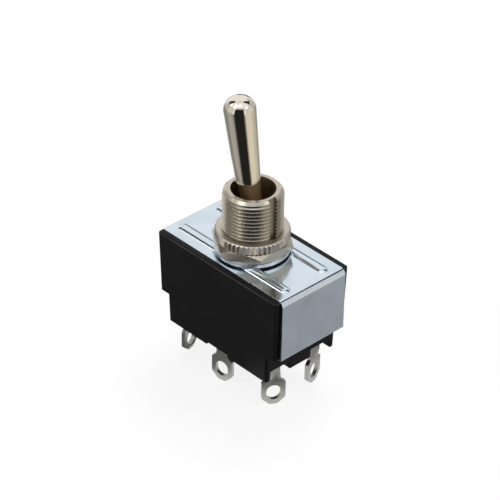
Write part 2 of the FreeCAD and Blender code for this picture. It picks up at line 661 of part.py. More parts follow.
def common_terminal(y_side, twist_deg):
    """Middle terminal: lug, blade up the side wall and a tab with the hinge rib."""
    part = lug(twist_deg)
    part.translate(FreeCAD.Vector(0, y_side * COMMON_LUG_Y, 0))
    half = BLADE_WIDTH / 2
    blade_outer = COMMON_LUG_Y + LUG_SHEET / 2
    blade_range = sorted((y_side * (blade_outer - LUG_SHEET), y_side * blade_outer))
    blade = block((-half, half), blade_range, (CAVITY_FLOOR, HINGE_Z))
    tab_inner = POLE_Y - ROCKER_WIDTH / 2 - FIT
    tab_range = sorted((y_side * tab_inner, y_side * blade_outer))
    tab = block((-half, half), tab_range, (HINGE_Z - LUG_SHEET, HINGE_Z))
    angle = blade.fuse(tab).removeSplitter()
    angle = rounded(angle, LUG_SHEET, lambda p: abs(p.y) > blade_outer - FIT and p.z > HINGE_Z - FIT)
    rib_length = POLE_Y + ROCKER_WIDTH / 2 - tab_inner
    rib_start = min(y_side * tab_inner, y_side * (tab_inner + rib_length))
    rib = Part.makeCylinder(HINGE_RADIUS, rib_length, FreeCAD.Vector(0, rib_start, HINGE_Z), Y_AXIS)
    rib = rib.cut(block((-half, half), (rib_start, rib_start + rib_length), (HINGE_Z - half, HINGE_Z)))
    return part.fuse(angle).fuse(rib).removeSplitter()


def lock_washer():
    """Internal tooth lock washer."""
    washer = post(WASHER_RADIUS, WASHER_BOTTOM, HEX_BOTTOM)
    hole = post(WASHER_HOLE_RADIUS, WASHER_BOTTOM - OVERSHOOT, HEX_BOTTOM + OVERSHOOT)
    washer = washer.cut(hole)
    gap_width = math.pi * WASHER_HOLE_RADIUS / WASHER_TEETH
    gap_end = WASHER_HOLE_RADIUS + WASHER_TOOTH_DEPTH
    for index in range(WASHER_TEETH):
        gap = block((0, gap_end), (-gap_width / 2, gap_width / 2), (WASHER_BOTTOM, HEX_BOTTOM))
        gap.rotate(CENTRE, Z_AXIS, index * FULL_TURN / WASHER_TEETH)
        washer = washer.cut(gap)
    return washer


def hex_nut():
    """Thin hexagon nut, chamfered on both faces."""
    step = FULL_TURN / HEX_SIDES
    angles = [math.radians(HEX_TURN_DEG + step * index) for index in range(HEX_SIDES)]
    points = [FreeCAD.Vector(HEX_CORNER * math.cos(a), HEX_CORNER * math.sin(a), HEX_BOTTOM) for a in angles]
    nut = Part.Face(Part.makePolygon(points + points[:1])).extrude(Z_AXIS * HEX_HEIGHT)
    drop = (HEX_CORNER - HEX_FLATS / 2) * math.tan(math.radians(HEX_CHAMFER_DEG))
    turned_form = turned(polyline([
        (0, HEX_BOTTOM),
        (HEX_FLATS / 2, HEX_BOTTOM),
        (HEX_CORNER, HEX_BOTTOM + drop),
        (HEX_CORNER, KNURL_BOTTOM - drop),
        (HEX_FLATS / 2, KNURL_BOTTOM),
        (0, KNURL_BOTTOM),
        (0, HEX_BOTTOM),
    ]))
    bore = post(THREAD_PITCH_RADIUS + NUT_CLEARANCE, HEX_BOTTOM - OVERSHOOT, KNURL_BOTTOM + OVERSHOOT)
    return nut.common(turned_form).cut(bore)


def knurled_nut():
    """Round nut with a straight knurl between two chamfers."""
    root = KNURL_RADIUS - KNURL_DEPTH
    points = []
    for index in range(2 * KNURL_TEETH):
        radius = KNURL_RADIUS if index % 2 == 0 else root
        angle = math.pi * index / KNURL_TEETH
        points.append(FreeCAD.Vector(radius * math.cos(angle), radius * math.sin(angle), KNURL_BOTTOM))
    toothed = Part.Face(Part.makePolygon(points + points[:1])).extrude(Z_AXIS * KNURL_HEIGHT)
    shoulder = KNURL_RADIUS - KNURL_CHAMFER
    turned_form = turned(polyline([
        (0, KNURL_BOTTOM),
        (shoulder, KNURL_BOTTOM),
        (KNURL_RADIUS, KNURL_BOTTOM + KNURL_CHAMFER),
        (KNURL_RADIUS, NUT_TOP - KNURL_CHAMFER),
        (shoulder, NUT_TOP),
        (0, NUT_TOP),
        (0, KNURL_BOTTOM),
    ]))
    bore = post(THREAD_PITCH_RADIUS + NUT_CLEARANCE, KNURL_BOTTOM - OVERSHOOT, NUT_TOP + OVERSHOOT)
    return toothed.common(turned_form).cut(bore)


def all_parts():
    """Every sub-part by its name."""
    parts = {
        "base": base(),
        "frame": frame(),
        "insulator": insulator(),
        "bushing": bushing(),
        "lever": lever(),
        "pivot_pin": pivot_pin(),
        "carrier": carrier(),
        "lock_washer": lock_washer(),
        "hex_nut": hex_nut(),
        "knurled_nut": knurled_nut(),
    }
    for pole, y_side in (("near", -1), ("far", 1)):
        y = y_side * POLE_Y
        parts["spring_" + pole] = spring(y)
        parts["plunger_" + pole] = plunger(y)
        parts["rocker_" + pole] = rocker(y)
        common = pole + "_common"
        parts["terminal_" + common] = common_terminal(y_side, LUG_TWIST_DEG[common])
        for end, x_side in (("left", -1), ("right", 1)):
            place = pole + "_" + end
            parts["terminal_" + place] = throw_terminal(x_side, y_side, LUG_TWIST_DEG[place])
            parts["fixed_contact_" + place] = fixed_contact(x_side * FIXED_CONTACT_X, y)
            parts["moving_contact_" + place] = moving_contact(x_side * CONTACT_REACH, y)
    return parts


os.makedirs("parts", exist_ok=True)
for name, shape in all_parts().items():
    shape.exportStep(os.path.join("parts", name + ".step"))
    print(f"{name}: {len(shape.Solids)} solid, {shape.Volume:.1f} mm3, valid {shape.isValid()}")
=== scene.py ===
# %% [markdown]
# # Dressing a panel toggle switch
#
# The exact solids of the switch already exist. This lesson gives each of them its finish, cuts
# the fine thread as a climbing groove, puts copies in place of the springs, and photographs the
# switch on white paper. It starts by loading the solids. They keep their places, so every later
# step can ask a solid where it is instead of typing its numbers again.

# %% Load the solids
import json
import math

import bmesh
import bpy
from mathutils import Matrix, Vector


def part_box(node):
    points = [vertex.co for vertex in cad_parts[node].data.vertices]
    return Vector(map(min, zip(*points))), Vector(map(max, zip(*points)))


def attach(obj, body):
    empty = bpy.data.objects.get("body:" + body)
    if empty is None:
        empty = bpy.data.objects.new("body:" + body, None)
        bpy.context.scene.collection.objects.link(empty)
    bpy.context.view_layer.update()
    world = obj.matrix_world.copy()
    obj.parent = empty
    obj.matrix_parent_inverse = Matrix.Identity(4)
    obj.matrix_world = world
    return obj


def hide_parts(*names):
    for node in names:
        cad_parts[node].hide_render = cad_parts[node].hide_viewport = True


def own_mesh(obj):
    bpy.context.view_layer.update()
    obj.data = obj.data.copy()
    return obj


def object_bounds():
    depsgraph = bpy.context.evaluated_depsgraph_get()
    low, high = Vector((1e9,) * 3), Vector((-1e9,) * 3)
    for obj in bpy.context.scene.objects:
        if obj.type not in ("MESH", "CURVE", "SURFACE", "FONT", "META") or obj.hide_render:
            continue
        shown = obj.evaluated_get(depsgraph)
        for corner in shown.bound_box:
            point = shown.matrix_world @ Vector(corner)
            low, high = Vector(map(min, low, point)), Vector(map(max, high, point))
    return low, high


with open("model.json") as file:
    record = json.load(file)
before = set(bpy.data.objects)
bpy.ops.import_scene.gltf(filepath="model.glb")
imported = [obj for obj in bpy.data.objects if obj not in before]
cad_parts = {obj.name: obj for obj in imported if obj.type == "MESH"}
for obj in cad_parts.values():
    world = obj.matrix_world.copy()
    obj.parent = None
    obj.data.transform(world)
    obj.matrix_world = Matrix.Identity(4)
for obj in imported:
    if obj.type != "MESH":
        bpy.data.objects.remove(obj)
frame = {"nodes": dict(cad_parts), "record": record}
solid_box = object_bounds()
MM = 0.001
corners_mm = [tuple(round(value / MM, 2) for value in corner) for corner in solid_box]
print("pieces:", len(frame["nodes"]), "box in mm:", corners_mm)

# %% [markdown]
# ## The camera
#
# The switch was photographed from above its front right corner with a long lens. A camera can be
# aimed by hand, or placed by three angles and a distance. The angles are clearer to read and to
# change: where the camera stands round the bushing, how high it looks down from, and how much it
# is tilted. The long lens keeps the edges of the body almost parallel, as in the picture.

# %% Place the camera
CAMERA_TURN_DEG = -43.69
CAMERA_HEIGHT_DEG = 34.58
CAMERA_ROLL_DEG = 0.98
CAMERA_DISTANCE = 492.0 * MM
CAMERA_SHIFT = Vector((-0.44, -0.37)) * MM
SENSOR_WIDTH = 36.0
LENS = 184.1
BEAD_HEIGHT = 0.45 * MM


def facing_axes(turn_deg, height_deg, roll_deg):
    """Right, up and backward directions of a camera or lamp that looks at the origin."""
    turn, height, roll = (math.radians(angle) for angle in (turn_deg, height_deg, roll_deg))
    level = math.cos(height)
    back = Vector((level * math.cos(turn), level * math.sin(turn), math.sin(height)))
    level_right = Vector((-math.sin(turn), math.cos(turn), 0))
    level_up = back.cross(level_right)
    right = level_right * math.cos(roll) + level_up * math.sin(roll)
    return right, back.cross(right), back


def placed(axes, place):
    """Matrix that turns an object's own axes to the given ones and moves it to a place."""
    return Matrix.Translation(place) @ Matrix(axes).transposed().to_4x4()


plate_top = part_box("frame")[1].z - BEAD_HEIGHT
target = Vector((0, 0, plate_top))
right, up, back = facing_axes(CAMERA_TURN_DEG, CAMERA_HEIGHT_DEG, CAMERA_ROLL_DEG)
camera_data = bpy.data.cameras.new("camera")
camera_data.sensor_width = SENSOR_WIDTH
camera_data.lens = LENS
camera_data.clip_start = MM
camera = bpy.data.objects.new("camera", camera_data)
bpy.context.scene.collection.objects.link(camera)
place = target + back * CAMERA_DISTANCE + right * CAMERA_SHIFT.x + up * CAMERA_SHIFT.y
camera.matrix_world = placed((right, up, back), place)
bpy.context.scene.camera = camera
print("camera at", tuple(round(c, 3) for c in place))

# %% [markdown]
# ## Arithmetic on shader nodes
#
# A finish is never one flat colour. Its patterns come from noise that is added, scaled and mixed,
# and wiring that by hand hides the idea. `Wire` stands for one output of a node. Python's own
# operators work on it, so `0.3 + cloud * 0.1` adds the Math nodes that say the same thing.

# %% Wires
class Wire:
    """One output of a shader node, on which arithmetic adds Math nodes."""

    def __init__(self, graph, socket):
        self.graph = graph
        self.socket = socket

    def math(self, operation, first, second):
        return self.graph.node("ShaderNodeMath", {"operation": operation}, {0: first, 1: second})

    def __add__(self, other):
        return self.math("ADD", self, other)

    def __sub__(self, other):
        return self.math("SUBTRACT", self, other)

    def __rsub__(self, other):
        return self.math("SUBTRACT", other, self)

    def __mul__(self, other):
        return self.math("MULTIPLY", self, other)

    __radd__ = __add__
    __rmul__ = __mul__


print("operators on a wire:", [name for name in vars(Wire) if name.startswith("__r")])

# %% [markdown]
# ## One way to add a node
#
# Blender's nodes have settings, such as the operation of a Math node, and sockets, and a setting
# can change which sockets there are. So `node` writes the settings first and the sockets after
# them. Materials and the sky both use it. `Finish` adds what only a material needs: its main
# shader, and short names for clouds, ramps, mixed colours and relief.

# %% Graphs and finishes
class Graph:
    """A tree of shader nodes."""

    def __init__(self, tree):
        self.tree = tree

    def feed(self, socket, value):
        """Links a wire to a socket, or writes a plain value on it."""
        if isinstance(value, Wire):
            self.tree.links.new(value.socket, socket)
        else:
            socket.default_value = value

    def node(self, kind, settings=None, inputs=None, output=0):
        """Adds any node: its settings first, then the values or wires of its sockets."""
        made = self.tree.nodes.new(kind)
        for name, value in (settings or {}).items():
            if name == "stops":
                while len(made.color_ramp.elements) < len(value):
                    made.color_ramp.elements.new(0.5)
                for element, (position, shade) in zip(made.color_ramp.elements, value):
                    element.position = position
                    element.color = (shade, shade, shade, 1)
            else:
                setattr(made, name, value)
        for name, value in (inputs or {}).items():
            self.feed(made.inputs[name], value)
        return Wire(self, made.outputs[output])


class Finish(Graph):
    """A material built round one Principled shader."""

    def __init__(self, name, **constants):
        self.material = bpy.data.materials.new(name)
        self.material.use_nodes = True
        super().__init__(self.material.node_tree)
        self.shader = self.tree.nodes["Principled BSDF"]
        self.set(**constants)
        self.place = self.node("ShaderNodeTexCoord", output="Object")

    def set(self, **values):
        """Gives the shader's own sockets a value or a wire, by their names in small letters."""
        for name, value in values.items():
            label = name.replace("_", " ").title().replace("Ior", "IOR")
            self.feed(self.shader.inputs[label], value)

    def noise(self, scale, detail=2.0, stretch=None):
        """Cloud from 0 to 1, with a scale in features per metre, drawn out if asked."""
        place = self.place
        if stretch:
            settings = {"operation": "MULTIPLY"}
            place = self.node("ShaderNodeVectorMath", settings, {0: place, 1: stretch})
        inputs = {"Vector": place, "Scale": scale, "Detail": detail}
        return self.node("ShaderNodeTexNoise", {}, inputs)

    def ramp(self, wire, *stops):
        """Turns a value into another through (position, shade) stops."""
        return self.node("ShaderNodeValToRGB", {"stops": stops}, {0: wire})

    def clamp(self, wire):
        """Keeps a value between 0 and 1."""
        return self.node("ShaderNodeClamp", {}, {0: wire})

    def mix(self, mask, first, second):
        """Colour between two colours."""
        first, second = (c if isinstance(c, Wire) else (*c, 1) for c in (first, second))
        inputs = {0: mask, 6: first, 7: second}
        return self.node("ShaderNodeMix", {"data_type": "RGBA"}, inputs, output=2)

    def bump(self, height, depth, edge=None):
        """Relief of a given depth in metres, with softened edges if a radius is given."""
        inputs = {"Height": height, "Distance": depth}
        if edge:
            inputs["Normal"] = self.node("ShaderNodeBevel", {"samples": 4}, {"Radius": edge})
        self.set(normal=self.node("ShaderNodeBump", {}, inputs))


finishes = {}
print("ready to build finishes")

# %% [markdown]
# ## Black moulded base
#
# The base is phenolic, pressed hot from powder. It is nearly black, and its surface is faintly
# cloudy where the powder flowed, with a few pale specks of filler. One cloud drives both colour
# and gloss, so that the pale places are also the dull ones. The top edges of its walls carry a
# painted grey highlight, standing in for a lamp's gleam on a rounded edge. A mask finds them
# without marking them by hand: only on a rounded edge does the surface turn from level to upright,
# so a curve that peaks between the two picks it out.

# %% Phenolic
FLOW_SCALE = 260
SPECK_SCALE = 5200
SPECK_STOPS = ((0.70, 0.0), (0.76, 1.0))
SPECK_SHARE = 0.5
GRAIN_SCALE = 3500
EDGE_PEAK = 6.75
EDGE_HIGHLIGHT = 1.6

phenolic = Finish("black_phenolic", specular_ior_level=0.07)
flow = phenolic.noise(FLOW_SCALE, detail=5)
speck = phenolic.ramp(phenolic.noise(SPECK_SCALE, detail=1), *SPECK_STOPS)
body_black = phenolic.mix(flow, (0.0065, 0.0065, 0.007), (0.0105, 0.0105, 0.011))
skin = phenolic.mix(speck * SPECK_SHARE, body_black, (0.03, 0.029, 0.028))

facing = phenolic.node("ShaderNodeNewGeometry", output="Normal")
level = phenolic.clamp(phenolic.node("ShaderNodeSeparateXYZ", {}, {0: facing}, output="Z"))
# Painted highlight: this mask lightens the rounded top edges grey, where a lamp's gleam would fall.
rounded = level * (1.0 - level) * (1.0 - level) * EDGE_PEAK
painted_edge_highlight = phenolic.clamp(rounded * rounded * rounded * rounded * (flow * EDGE_HIGHLIGHT))

phenolic.set(base_color=phenolic.mix(painted_edge_highlight, skin, (0.09, 0.085, 0.08)))
phenolic.set(roughness=0.26 + flow * 0.14)
phenolic.bump(phenolic.noise(GRAIN_SCALE, detail=3), 0.003 * MM, edge=0.18 * MM)
finishes["black_phenolic"] = phenolic.material
print("nodes in the phenolic:", len(phenolic.tree.nodes))

# %% [markdown]
# ## Plated metals
#
# Zinc, nickel and tin plate differ less in kind than in degree: a dark and a light colour, a
# gloss, how hazy the gloss is, and how deep the surface ripples. One function with those as
# arguments makes them all. The rolling marks of sheet metal run one way, which `grain` draws out.

# %% One function for every metal
ALONG_BODY = (0.08, 1.0, 1.0)
UP_AND_DOWN = (1.0, 1.0, 0.06)
STREAK_SCALE = 900
SWELL_SCALE = 350
SWELL_SHARE = 2.0
STREAK_HAZE = 0.6


def plated(name, dark, light, gloss, haze, ripple, grain=None, patch=180, edge=0.06):
    """Bright metal whose colour and roughness drift together over patches, ripple in mm."""
    metal = Finish(name, metallic=1.0)
    cloud = metal.noise(patch, detail=4)
    streak = metal.noise(STREAK_SCALE, detail=3, stretch=grain)
    metal.set(base_color=metal.mix(cloud, dark, light))
    metal.set(roughness=gloss + cloud * haze + streak * (haze * STREAK_HAZE))
    swell = metal.noise(SWELL_SCALE, detail=1)
    metal.bump(streak + swell * SWELL_SHARE, ripple * MM, edge=edge * MM)
    finishes[name] = metal.material


print("ready to plate")

# %% [markdown]
# The zinc of the frame is blue and nearly a mirror. The nickel of the lever is warm and bright,
# and the same nickel is duller on the parts that a spanner and fingers touch.

# %% Zinc and nickel
plated("zinc_plate", dark=(0.52, 0.62, 0.67), light=(0.78, 0.84, 0.94),
       gloss=0.05, haze=0.11, ripple=0.0008, grain=ALONG_BODY, edge=0.10)
plated("zinc_washer", dark=(0.70, 0.76, 0.79), light=(0.86, 0.91, 0.93),
       gloss=0.22, haze=0.12, ripple=0.0015, edge=0.08)
plated("nickel_plate", dark=(0.72, 0.655, 0.55), light=(0.84, 0.775, 0.67),
       gloss=0.05, haze=0.05, ripple=0.0003, grain=UP_AND_DOWN)
plated("worn_nickel", dark=(0.44, 0.40, 0.33), light=(0.62, 0.57, 0.48),
       gloss=0.13, haze=0.12, ripple=0.0010, edge=0.08)
plated("thread_nickel", dark=(0.46, 0.42, 0.35), light=(0.64, 0.59, 0.50),
       gloss=0.20, haze=0.10, ripple=0.0008)
# Milled nickel is matt, and its dark colour is painted shade of the keyway slot.
plated("milled_nickel", dark=(0.34, 0.29, 0.22), light=(0.48, 0.42, 0.33),
       gloss=0.46, haze=0.14, ripple=0.0015)
plated("knurled_nickel", dark=(0.48, 0.43, 0.36), light=(0.66, 0.61, 0.53),
       gloss=0.27, haze=0.12, ripple=0.0012, edge=0.12)
print("zinc and nickel:", sorted(finishes))

# %% [markdown]
# The other metals are the dull tin of the lugs, and what sits inside: steel, brass, copper and
# silver, and the bare brown brass in the bushing's mouth, where no plating holds, darkened with
# painted shade of the hollow.

# %% The other metals
plated("tinned_brass", dark=(0.34, 0.335, 0.31), light=(0.56, 0.555, 0.52),
       gloss=0.28, haze=0.16, ripple=0.004, patch=900)
plated("pin_steel", dark=(0.42, 0.42, 0.43), light=(0.56, 0.56, 0.57),
       gloss=0.18, haze=0.10, ripple=0.001)
plated("spring_steel", dark=(0.30, 0.30, 0.32), light=(0.46, 0.46, 0.48),
       gloss=0.26, haze=0.12, ripple=0.002)
plated("plunger_brass", dark=(0.62, 0.44, 0.17), light=(0.80, 0.62, 0.30),
       gloss=0.18, haze=0.12, ripple=0.001, grain=UP_AND_DOWN)
plated("arm_copper", dark=(0.58, 0.30, 0.18), light=(0.76, 0.45, 0.29),
       gloss=0.24, haze=0.14, ripple=0.002, grain=ALONG_BODY)
plated("contact_silver", dark=(0.74, 0.73, 0.71), light=(0.90, 0.89, 0.87),
       gloss=0.20, haze=0.14, ripple=0.001)
# Brown of bare brass in the mouth, darkened with painted shade of the hollow.
plated("bare_bore", dark=(0.20, 0.155, 0.10), light=(0.34, 0.27, 0.18),
       gloss=0.28, haze=0.14, ripple=0.002)
print("finishes so far:", len(finishes))

# %% [markdown]
# ## Fibre and nylon
#
# Two insulating parts sit inside. Vulcanised fibre is grey, matt and made of flattened layers, so
# its noise is drawn out sideways. Nylon is a warm, waxy white that lets a little light in.

# %% Insulating parts
FLAT_LAYERS = (0.3, 0.3, 2.0)
LAYER_SCALE = 1400
WAX_SCALE = 420
SKIN_SCALE = 2400

fibre = Finish("grey_fibre", specular_ior_level=0.3)
layers = fibre.noise(LAYER_SCALE, detail=5, stretch=FLAT_LAYERS)
fibre.set(base_color=fibre.mix(layers, (0.16, 0.155, 0.145), (0.30, 0.29, 0.27)))
fibre.set(roughness=0.72 + layers * 0.2)
fibre.bump(layers, 0.02 * MM)
finishes["grey_fibre"] = fibre.material

nylon = Finish("natural_nylon", subsurface_weight=0.15, subsurface_scale=0.5 * MM)
wax = nylon.noise(WAX_SCALE, detail=3)
nylon.set(base_color=nylon.mix(wax, (0.74, 0.70, 0.60), (0.84, 0.81, 0.73)))
nylon.set(roughness=0.34 + wax * 0.14)
nylon.bump(nylon.noise(SKIN_SCALE, detail=2), 0.004 * MM, edge=0.08 * MM)
finishes["natural_nylon"] = nylon.material
print("all finishes:", len(finishes))

# %% [markdown]
# ## Every solid gets its finish
#
# The record names a material for each solid. The nuts are nickel plated like the lever, but
# spanner and fingers have dulled them, so their names are looked up in `WORN` first.

# %% Give every solid its finish
slot_of = {part["node"]: part["material_slot"] for part in frame["record"]["subparts"]}
WORN = {"hex_nut": "worn_nickel", "knurled_nut": "knurled_nickel"}
for node, solid in frame["nodes"].items():
    for slot in solid.material_slots:
        slot.material = finishes[WORN.get(node, slot_of[node])]
missing = [node for node in frame["nodes"] if slot_of[node] not in finishes]
print("solids without a finish:", missing)

# %% [markdown]
# ## Cutting the thread
#
# The solid bushing carries its thread as plain rings, 32 to the inch, and the real thread climbs.
# A bump could fake that, but its outline would stay smooth and it would not catch light from
# above. Here it is cut as on a lathe. A sleeve first fills the rings of a copy of the bushing,
# open only at the keyway, and a groove-shaped coil is then taken out of it. The keyway, the rim
# and the ball seat stay exactly as they were. The groove's flanks stand 30 degrees off square,
# and the flat at its root is a sixth of the pitch wide.

# %% The groove as a coil
INCH_IN_MM = 25.4
THREADS_PER_INCH = 32
DEPTH_SHARE = 0.6134
FLANK_DEG = 30
THREAD_PITCH = INCH_IN_MM / THREADS_PER_INCH * MM
THREAD_DEPTH = DEPTH_SHARE * THREAD_PITCH
ROOT_HALF = THREAD_PITCH / 12
FLANK_SLOPE = math.tan(math.radians(FLANK_DEG))
FLANK_OVERRUN = 0.05 * MM
GROOVE_OVERRUN = 0.4 * MM
GROOVE_BELOW_NUT = 0.6 * MM
STEPS_PER_TURN = 96

crest_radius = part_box("bushing")[1].y
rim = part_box("bushing")[1].z
nut_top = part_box("knurled_nut")[1].z


def groove_section(crest):
    """Outline of the groove as (radius, height): a V with a flat root, opened past the crest."""
    root = crest - THREAD_DEPTH
    mouth = crest + FLANK_OVERRUN
    mouth_half = ROOT_HALF + (mouth - root) * FLANK_SLOPE
    outside = crest + GROOVE_OVERRUN
    upper = [(root, ROOT_HALF), (mouth, mouth_half), (outside, mouth_half)]
    return upper + [(radius, -height) for radius, height in reversed(upper)]


def coil(section, low, high, pitch):
    """Closed mesh of a section swept along a helix about the Z axis."""
    mesh = bmesh.new()
    steps = round((high - low) / pitch * STEPS_PER_TURN)
    rings = []
    for step in range(steps + 1):
        angle = 2 * math.pi * step / STEPS_PER_TURN
        lift = low + pitch * step / STEPS_PER_TURN
        outward = Vector((math.cos(angle), math.sin(angle), 0))
        points = [outward * radius + Vector((0, 0, lift + height)) for radius, height in section]
        rings.append([mesh.verts.new(point) for point in points])
    for before, after in zip(rings, rings[1:]):
        for index in range(len(section)):
            following = (index + 1) % len(section)
            mesh.faces.new((before[index], before[following], after[following], after[index]))
    mesh.faces.new(rings[0])
    mesh.faces.new(rings[-1][::-1])
    bmesh.ops.recalc_face_normals(mesh, faces=mesh.faces)
    return mesh


def as_object(name, mesh):
    """Moves a bmesh into a new object of the scene."""
    data = bpy.data.meshes.new(name)
    mesh.to_mesh(data)
    mesh.free()
    made = bpy.data.objects.new(name, data)
    bpy.context.scene.collection.objects.link(made)
    return made


section = groove_section(crest_radius)
climb = coil(section, nut_top - GROOVE_BELOW_NUT, rim + THREAD_PITCH, THREAD_PITCH)
groove = as_object("groove", climb)
print("groove faces:", len(groove.data.polygons))

# %% [markdown]
# ## The sleeve
#
# The sleeve is a plain pipe, a hair wider than the thread's crest and a hair narrower than its
# root, so that the join has no two surfaces in the same place. A box takes the keyway out of it.

# %% The sleeve that fills the rings
SKIN = 0.002 * MM
SKINS_UNDER_ROOT = 4
RIM_CHAMFER_HEIGHT = 0.8 * MM
THREAD_START = 0.1 * MM
KEYWAY_WIDTH = 1.9 * MM
SLEEVE_STEPS = 192


def pipe(section, steps):
    """Closed mesh turned about the Z axis from a section given as (radius, height) pairs."""
    mesh = bmesh.new()
    angles = [2 * math.pi * step / steps for step in range(steps)]
    rows = [[mesh.verts.new((r * math.cos(a), r * math.sin(a), z)) for r, z in section]
            for a in angles]
    for step in range(steps):
        before, after = rows[step], rows[(step + 1) % steps]
        for index in range(len(section)):
            following = (index + 1) % len(section)
            mesh.faces.new((before[index], after[index], after[following], before[following]))
    bmesh.ops.recalc_face_normals(mesh, faces=mesh.faces)
    return mesh


def block(low, high):
    """Closed mesh of a box between two corners."""
    mesh = bmesh.new()
    middle, size = (low + high) / 2, high - low
    stretched = Matrix.Translation(middle) @ Matrix.Diagonal((*size, 1))
    bmesh.ops.create_cube(mesh, size=1, matrix=stretched)
    return mesh


def carve(body, tool, operation):
    """Joins a tool to a body or cuts it out, and removes the tool."""
    step = body.modifiers.new(operation, "BOOLEAN")
    step.operation = operation
    step.solver = "EXACT"
    step.object = tool
    scene_now = bpy.context.evaluated_depsgraph_get()
    body.data = bpy.data.meshes.new_from_object(body.evaluated_get(scene_now))
    body.modifiers.clear()
    bpy.data.objects.remove(tool)


inside = crest_radius - THREAD_DEPTH - SKINS_UNDER_ROOT * SKIN
outside = crest_radius + SKIN
sleeve_low = nut_top + THREAD_START - SKIN
sleeve_high = rim - RIM_CHAMFER_HEIGHT
wall = [(inside, sleeve_low), (outside, sleeve_low), (outside, sleeve_high), (inside, sleeve_high)]
sleeve = as_object("sleeve", pipe(wall, SLEEVE_STEPS))
keyway_half = KEYWAY_WIDTH / 2 + SKIN
keyway_low = Vector((0, -keyway_half, sleeve_low - MM))
keyway_high = Vector((2 * crest_radius, keyway_half, sleeve_high + MM))
carve(sleeve, as_object("keyway", block(keyway_low, keyway_high)), "DIFFERENCE")
print("sleeve faces:", len(sleeve.data.polygons))

# %% [markdown]
# ## The cut
#
# The copy's corners are joined first, because a packed mesh keeps a separate corner for each flat
# side and a cut needs a closed skin. Then the edges that turn sharply are marked, so that the
# flanks stay crisp and the round surfaces stay smooth.

# %% Take the groove out of the bushing
JOIN_DISTANCE = 0.0005 * MM
SHARP_DEG = 28.0


def shade_round(mesh_data):
    """Smooth shading with a break at every edge that turns more than SHARP_DEG."""
    mesh = bmesh.new()
    mesh.from_mesh(mesh_data)
    for face in mesh.faces:
        face.smooth = True
    for edge in mesh.edges:
        edge.smooth = edge.is_manifold and edge.calc_face_angle() < math.radians(SHARP_DEG)
    mesh.to_mesh(mesh_data)
    mesh.free()


whole = bmesh.new()
whole.from_mesh(frame["nodes"]["bushing"].data)
bmesh.ops.remove_doubles(whole, verts=whole.verts, dist=JOIN_DISTANCE)
threaded = as_object("threaded_bushing", whole)
carve(threaded, sleeve, "UNION")
carve(threaded, groove, "DIFFERENCE")
shade_round(threaded.data)
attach(threaded, "root")
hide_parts("bushing")
print("threaded bushing faces:", len(threaded.data.polygons))

# %% [markdown]
# ## Four finishes on one piece
#
# The bushing isn't equally worn all over. Its outside is rubbed, its thread is duller still, the
# milled keyway is matt and darkened with painted shade of the slot, and the mouth is bare brass
# darkened with painted shade of the hollow. Each face says by its own place and direction which
# of the four it belongs to.

# %% Finish the bushing by its faces
MOUTH_RADIUS = 4.4 * MM
KEYWAY_FLOOR = 4.8 * MM
UPRIGHT = 0.3
BUSHING_FINISHES = ("worn_nickel", "bare_bore", "thread_nickel", "milled_nickel")


def bushing_finish(face):
    """Name of the finish that a face of the bushing gets."""
    outward = Vector((face.center.x, face.center.y, 0))
    # Faces inside the mouth get bare brass darkened with painted shade of the hollow.
    if outward.length < MOUTH_RADIUS and face.normal.dot(outward) < 0:
        return "bare_bore"
    # The keyway's side faces get matt nickel darkened with painted shade of the slot.
    beside_keyway = abs(face.center.y) < keyway_half and abs(face.normal.z) < UPRIGHT
    if beside_keyway and KEYWAY_FLOOR < face.center.x < crest_radius - SKIN:
        return "milled_nickel"
    above_root = crest_radius - THREAD_DEPTH - SKIN < outward.length
    if above_root and outward.length < crest_radius - SKIN and face.center.z < sleeve_high:
        return "thread_nickel"
    return "worn_nickel"


threaded.data.materials.clear()
for name in BUSHING_FINISHES:
    threaded.data.materials.append(finishes[name])
for face in threaded.data.polygons:
    face.material_index = BUSHING_FINISHES.index(bushing_finish(face))
used = [face.material_index for face in threaded.data.polygons]
print("faces of each finish:", {name: used.count(i) for i, name in enumerate(BUSHING_FINISHES)})

# %% [markdown]
# ## Copies of the springs
#
# When a plunger slides up its bore, its spring gets shorter by the same travel. A rigid spring
# would let the plunger cut through it. So a copy of each spring takes the place of the solid one
# and hangs on the lever's body, and the share of its length left at the plunger's full travel is
# worked out. The copy itself keeps its full length.

# %% Copy the springs
joints = {joint["name"]: joint for joint in frame["record"]["behaviour"]["joints"]}
for pole in ("near", "far"):
    slide = joints["plunger_slide_" + pole]
    bore = Vector(slide["axis"]).normalized()
    wound = frame["nodes"]["spring_" + pole].data.copy()
    coils = bpy.data.objects.new("pressed_spring_" + pole, wound)
    bpy.context.scene.collection.objects.link(coils)
    heights = [corner.co.dot(bore) for corner in wound.vertices]
    length = max(heights) - min(heights)
    pressed = 1 - slide["range_m"][1] / length
    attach(coils, "lever")
    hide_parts("spring_" + pole)
    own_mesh(coils)
    print(coils.name, "length in mm:", round(length / MM, 2))

# %% [markdown]
# ## Paper and sky
#
# The picture shows the switch on pure white. White paper lies under it, and the sky is an even
# soft light. Paper that is only lit would come out grey, and so would the sky. So the camera and
# the gloss of the metal see the sky, and most of the paper, as plain white, through a mix that
# asks what kind of ray has arrived. The rest of the paper's own shade still takes the shadow.

# %% White paper, white sky
WHITE = (1, 1, 1)
PAPER_SIZE = 3.0
PAPER_SHADE = (0.9, 0.9, 0.9)
PAPER_GRAIN_SCALE = 1500
PAPER_WHITE_SHARE = 0.85
SKY_LIGHT = 0.55
SHOWN_WHITE = {"Color": (*WHITE, 1), "Strength": 1.0}


def white_for_camera(lit, white, share=1.0):
    """Mixes a share of plain white into what the camera, gloss and glass see of a lit shader."""
    graph = lit.graph
    seen = graph.node("ShaderNodeLightPath", output="Is Camera Ray")
    for name in ("Is Glossy Ray", "Is Transmission Ray"):
        either = {0: seen, 1: graph.node("ShaderNodeLightPath", output=name)}
        seen = graph.node("ShaderNodeMath", {"operation": "MAXIMUM"}, either)
    return graph.node("ShaderNodeMixShader", {}, {0: seen * share, 1: lit, 2: white})


